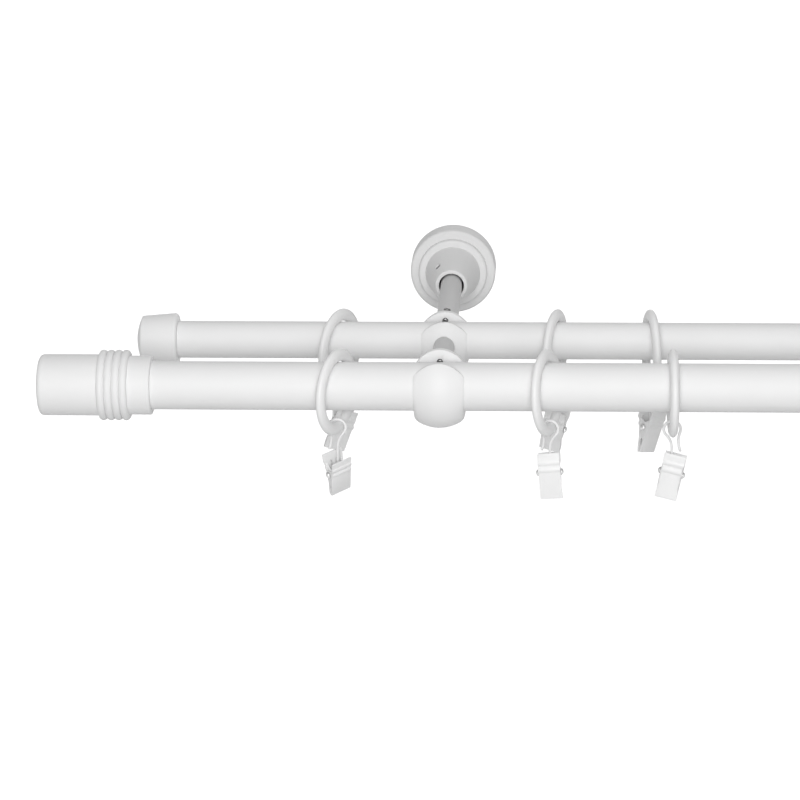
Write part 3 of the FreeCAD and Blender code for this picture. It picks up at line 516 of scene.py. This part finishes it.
def spring_half(name, angles, side):
    """One coil of the spring: a leg on the fixed handle with close turns, and a leg on the moving handle."""
    front_moves = BODY_OF["clip_front_jaw_" + name].startswith("jaw_body")
    moving = "clip_front_jaw_" if front_moves else "clip_back_jaw_"
    front = -1 if front_moves else 1
    turn = clip_turn(angles)
    pin = PIN_AT[name]
    axis = turn @ Vector((1, 0, 0))
    toward = turn @ Vector((0, -front, 0))
    upward = turn @ Vector((0, 0, 1))
    lean = math.radians(LEG_LEAN)
    for handle, sense in (("fixed", 1), ("moving", -1)):
        reach = toward * sense
        touch = reach * math.cos(lean) - upward * math.sin(lean)
        leg = reach * math.sin(lean) + upward * math.cos(lean)
        offset = COIL_START if handle == "fixed" else COIL_START + 2 * COIL_PITCH
        start = pin + axis * side * offset + touch * COIL_RADIUS + leg * LEG_LENGTH
        wire = Wire(SPRING_WIRE, start, -leg, SPRING_SIDES)
        wire.run(LEG_LENGTH)
        winding = axis if (axis.cross(-leg)).dot(-touch) > 0 else -axis
        drift = side * COIL_PITCH if handle == "fixed" else -side * COIL_PITCH
        if winding.dot(axis) < 0:
            drift = -drift
        turns = FIXED_TURNS if handle == "fixed" else MOVING_TURNS
        wire.bend(winding, 360 * turns, COIL_RADIUS, drift * turns)
        owner = BODY_OF["hook_" + name] if handle == "fixed" else BODY_OF[moving + name]
        word = "left" if side < 0 else "right"
        finished(wire.end(), f"spring_{handle}_{word}_{name}", "pin_steel", owner)


for set_name, set_angles in SETS.items():
    wire_hook(set_name, set_angles)
    turned_pin(set_name, set_angles)
    for hand in (-1, 1):
        spring_half(set_name, set_angles, hand)
    for jaw_way in ("front", "back"):
        pressed_jaw(set_name, jaw_way, set_angles)


# Brackets: cups with their cast edges, and the grub screws, on each side

FRONT_DISTANCE = 232.5
REAR_DISTANCE = 151.0
FRONT_CUP = {"distance": FRONT_DISTANCE, "half": 12.7, "radius": 22, "setback": 5.5, "crown": 20,
             "corner": 4.6, "bore": 12.6, "cheek": 13.0, "wall": 13.4}
REAR_CUP = {"distance": REAR_DISTANCE, "half": 11.95, "radius": 18, "setback": 4.5, "crown": 20,
            "corner": 4, "bore": 10.1, "cheek": 12.1, "wall": 12.9}
BRACKETS = (("left", 0.0), ("right", 400.0))
GRUB_SCREWS = (
    {"node": "rosette_screw_", "top": 11.6, "distance": 33, "angle": 134, "radius": 1.9, "length": 5.4},
    {"node": "stem_screw_", "top": 7.0, "distance": REAR_DISTANCE - 37.5, "angle": 90, "radius": 1.9,
     "length": 3.0},
    {"node": "link_screw_", "top": 6.4, "distance": FRONT_DISTANCE - 47, "angle": 125, "radius": 1.9,
     "length": 3.4},
)
LOCK_SCREWS = (
    {"node": "rear_lock_screw_", "distance": REAR_DISTANCE, "level": 8.1, "back": 13.5},
    {"node": "front_lock_screw_", "distance": FRONT_DISTANCE, "level": 9.4, "back": 16.0},
)
LOCK_REACH = 5.5
LOCK_RADIUS = 1.58
LOCK_LENGTH = 5.4


def radial(centre, reach, distance, degrees):
    """A point reach away from the stem's axis and the direction that it lies in."""
    outward = Vector((math.cos(math.radians(degrees)), 0, math.sin(math.radians(degrees))))
    return outward * reach + Vector((centre, -distance, 0)), outward


for bracket_side, bracket_along in BRACKETS:
    cast_cup("front_cup_" + bracket_side, FRONT_CUP)
    cast_cup("rear_cup_" + bracket_side, REAR_CUP)
    for screw in GRUB_SCREWS:
        spot, outward = radial(bracket_along, screw["top"], screw["distance"], screw["angle"])
        slotted_screw(screw["node"] + bracket_side, spot, outward, screw["radius"], screw["length"])
    for screw in LOCK_SCREWS:
        spot = (bracket_along, screw["back"] - screw["distance"] - LOCK_REACH, screw["level"])
        slotted_screw(screw["node"] + bracket_side, spot, (0, -1, 0), LOCK_RADIUS, LOCK_LENGTH)


# Studio: pale floor, even surroundings, a large soft lamp at the camera, one above and one behind the wall

FLOOR_SIZE = 30.0
FLOOR_LEVEL = -0.32
FLOOR_TONE = 0.8
FLOOR_BOUNCE = 0.6
FLOOR_GLOW = 0.8
SKY_LEVEL = 0.4
FRONT_LAMP = {"size": 1.1, "power": 20.1, "behind_camera": 0.25, "raised": 0.06}
TOP_LAMP = {"size": 0.7, "power": 0.4, "place": (0.1, -0.45, 0.7)}
BACK_LAMP = {"size": 1.1, "power": 2.8, "place": (0.2, 2.1, 0.3)}
CAMERA_PLACE = (0.05709, -1.69385, 0.46778)
CAMERA_RISE = 17.987
CAMERA_SWING = 3.025
CAMERA_ROLL = -0.638
CAMERA_LENS = 135.0
CAMERA_SENSOR = 36.0
CAMERA_NEAR = 0.05


def lit_white(place, output, plain, shown):
    """Plain shading for light that reaches the object, and a white one for the eye and for reflections."""
    path = place.node("ShaderNodeLightPath")
    sight = place.wrap(path.outputs["Is Camera Ray"])
    for ray in ("Is Glossy Ray", "Is Transmission Ray"):
        sight = sight.larger(place.wrap(path.outputs[ray]))
    mix = place.node("ShaderNodeMixShader", {}, n0=sight, n1=place.wrap(plain), n2=place.wrap(shown))
    place.tree.links.new(mix.outputs[0], output.inputs["Surface"])


def floor():
    builder = bmesh.new()
    bmesh.ops.create_grid(builder, x_segments=1, y_segments=1, size=FLOOR_SIZE)
    bmesh.ops.translate(builder, verts=builder.verts, vec=(0, 0, FLOOR_LEVEL))
    mesh = bpy.data.meshes.new("floor")
    builder.to_mesh(mesh)
    builder.free()
    piece = bpy.data.objects.new("floor", mesh)
    bpy.context.scene.collection.objects.link(piece)
    material, output, place = new_material("floor_card")
    plain = place.node("ShaderNodeBsdfDiffuse", {}, Color=(*grey(FLOOR_BOUNCE), 1.0))
    card = place.node("ShaderNodeBsdfDiffuse", {}, Color=(*grey(FLOOR_TONE), 1.0))
    glow = place.node("ShaderNodeEmission", {}, Color=(1, 1, 1, 1), Strength=FLOOR_GLOW)
    shown = place.node(
        "ShaderNodeAddShader", {}, n0=place.wrap(card.outputs[0]), n1=place.wrap(glow.outputs[0]))
    lit_white(place, output, plain.outputs[0], shown.outputs[0])
    mesh.materials.append(material)


def surroundings():
    world = bpy.data.worlds.new("studio")
    bpy.context.scene.world = world
    world.use_nodes = True
    tree = world.node_tree
    tree.nodes.clear()
    output = tree.nodes.new("ShaderNodeOutputWorld")
    place = Signal(tree, tree.nodes.new("ShaderNodeTexCoord").outputs["Object"])
    plain = place.node("ShaderNodeBackground", {}, Color=(1, 1, 1, 1), Strength=SKY_LEVEL)
    shown = place.node("ShaderNodeBackground", {}, Color=(1, 1, 1, 1), Strength=1.0)
    lit_white(place, output, plain.outputs[0], shown.outputs[0])


def camera_place():
    """The camera's own axes and place, from the ellipses and edges in the photograph."""
    rise = math.radians(CAMERA_RISE)
    swing = math.radians(CAMERA_SWING)
    roll = math.radians(CAMERA_ROLL)
    back = Vector((math.sin(swing) * math.cos(rise), -math.cos(swing) * math.cos(rise), math.sin(rise)))
    level = Vector((math.cos(swing), math.sin(swing), 0))
    up = back.cross(level)
    right = level * math.cos(roll) + up * math.sin(roll)
    top = up * math.cos(roll) - level * math.sin(roll)
    turn = Matrix((right, top, back)).transposed().to_4x4()
    return Matrix.Translation(CAMERA_PLACE) @ turn, back


def soft_lamp(name, lamp_values, place):
    """A round soft lamp that shines along its own -Z."""
    data = bpy.data.lights.new(name, "AREA")
    data.shape = "DISK"
    data.size = lamp_values["size"]
    data.energy = lamp_values["power"]
    lamp = bpy.data.objects.new(name, data)
    lamp.matrix_world = place
    bpy.context.scene.collection.objects.link(lamp)


def camera_and_lamps():
    place, back = camera_place()
    data = bpy.data.cameras.new("camera")
    data.sensor_width = CAMERA_SENSOR
    data.lens = CAMERA_LENS
    data.clip_start = CAMERA_NEAR
    camera = bpy.data.objects.new("camera", data)
    camera.matrix_world = place
    bpy.context.scene.collection.objects.link(camera)
    bpy.context.scene.camera = camera
    shift = back * FRONT_LAMP["behind_camera"] + Vector((0, 0, FRONT_LAMP["raised"]))
    soft_lamp("front_lamp", FRONT_LAMP, Matrix.Translation(shift) @ place)
    soft_lamp("top_lamp", TOP_LAMP, Matrix.Translation(TOP_LAMP["place"]))
    facing_room = Matrix.Rotation(math.radians(-90), 4, "X")
    soft_lamp("back_lamp", BACK_LAMP, Matrix.Translation(BACK_LAMP["place"]) @ facing_room)


floor()
surroundings()
camera_and_lamps()
bpy.context.scene.view_settings.view_transform = "Standard"
